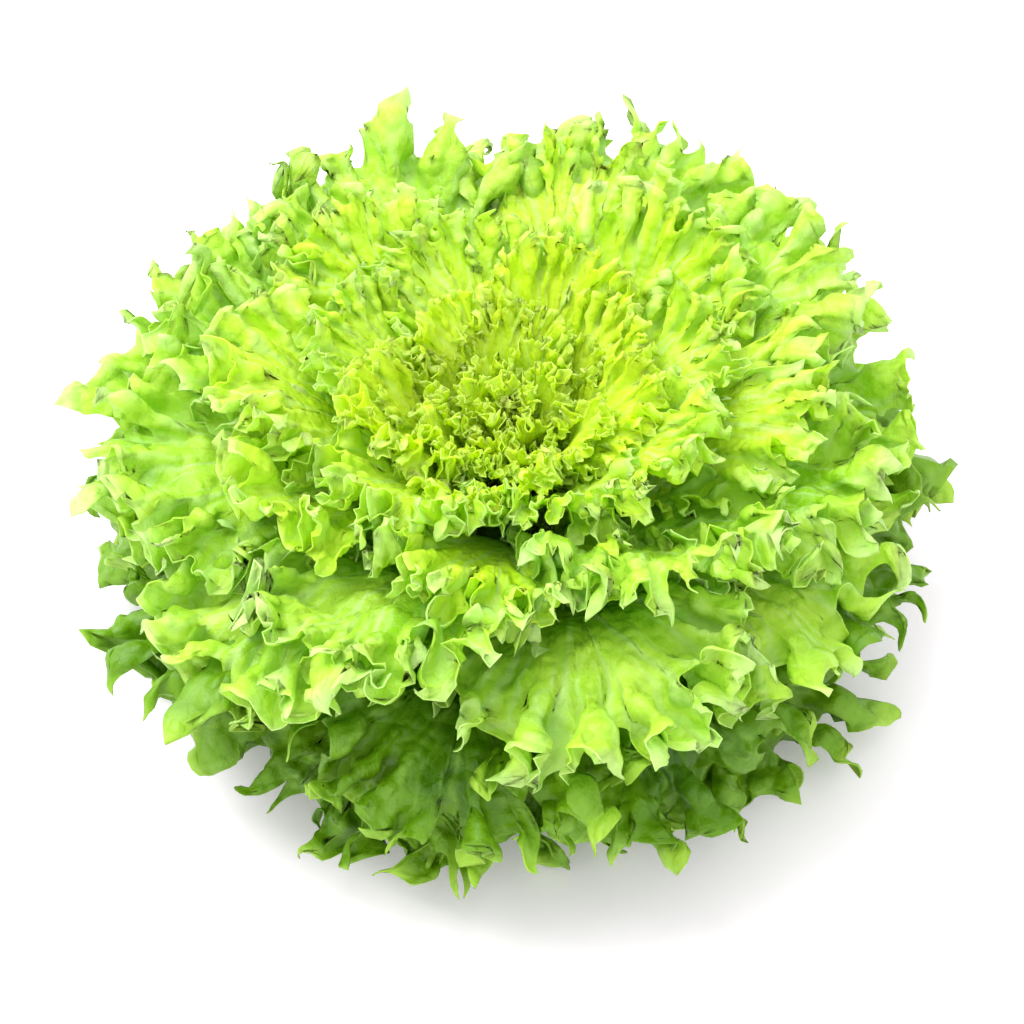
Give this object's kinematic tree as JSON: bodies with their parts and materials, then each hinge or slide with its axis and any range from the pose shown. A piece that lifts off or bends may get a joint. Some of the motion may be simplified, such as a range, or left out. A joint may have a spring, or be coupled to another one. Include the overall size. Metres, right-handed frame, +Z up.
{
  "type": "head of lettuce",
  "caption": "Loose head of curled green lettuce: crisp leaves with toothed, ruffled edges in a low rosette round a fine frilly heart, resting on its cut butt.",
  "frame": {"origin": "centre of the flat cut face of the butt, on the surface the head rests on", "axes": "+Z up out of the heart, along the core; X and Y lie in the cut face, and the head is seen from the -Y side"},
  "size_m": [0.2753, 0.2808, 0.1224],
  "materials": {
    "core": "moist pale stem, cut face slightly browned",
    "heart_bud": "satin, finely frilled young leaf",
    "heart_leaf": "satin, yellow-green young leaf",
    "inner_leaf": "satin, bright yellow-green leaf",
    "middle_leaf": "waxy satin, light green leaf",
    "outer_leaf": "waxy satin, green leaf with paler rim"
  },
  "bodies": {
    "root": {"core": "core", "heart_bud": "heart_bud", "outer_leaf_01": "outer_leaf", "outer_leaf_02": "outer_leaf", "outer_leaf_03": "outer_leaf", "outer_leaf_04": "outer_leaf", "outer_leaf_05": "outer_leaf", "outer_leaf_06": "outer_leaf", "outer_leaf_07": "outer_leaf", "outer_leaf_08": "outer_leaf", "outer_leaf_09": "outer_leaf", "outer_leaf_10": "outer_leaf", "outer_leaf_11": "outer_leaf", "outer_leaf_12": "outer_leaf", "outer_leaf_13": "outer_leaf", "outer_leaf_14": "outer_leaf", "outer_leaf_15": "outer_leaf", "outer_leaf_16": "outer_leaf", "middle_leaf_01": "middle_leaf", "middle_leaf_02": "middle_leaf", "middle_leaf_03": "middle_leaf", "middle_leaf_04": "middle_leaf", "middle_leaf_05": "middle_leaf", "middle_leaf_06": "middle_leaf", "middle_leaf_07": "middle_leaf", "middle_leaf_08": "middle_leaf", "middle_leaf_09": "middle_leaf", "middle_leaf_10": "middle_leaf", "middle_leaf_11": "middle_leaf", "middle_leaf_12": "middle_leaf", "middle_leaf_13": "middle_leaf", "middle_leaf_14": "middle_leaf", "middle_leaf_15": "middle_leaf", "middle_leaf_16": "middle_leaf", "inner_leaf_01": "inner_leaf", "inner_leaf_02": "inner_leaf", "inner_leaf_03": "inner_leaf", "inner_leaf_04": "inner_leaf", "inner_leaf_05": "inner_leaf", "inner_leaf_06": "inner_leaf", "inner_leaf_07": "inner_leaf", "inner_leaf_08": "inner_leaf", "inner_leaf_09": "inner_leaf", "inner_leaf_10": "inner_leaf", "inner_leaf_11": "inner_leaf", "inner_leaf_12": "inner_leaf", "inner_leaf_13": "inner_leaf", "heart_leaf_01": "heart_leaf", "heart_leaf_02": "heart_leaf", "heart_leaf_03": "heart_leaf", "heart_leaf_04": "heart_leaf", "heart_leaf_05": "heart_leaf", "heart_leaf_06": "heart_leaf", "heart_leaf_07": "heart_leaf", "heart_leaf_08": "heart_leaf", "heart_leaf_09": "heart_leaf", "heart_leaf_10": "heart_leaf"}
  },
  "joints": []
}
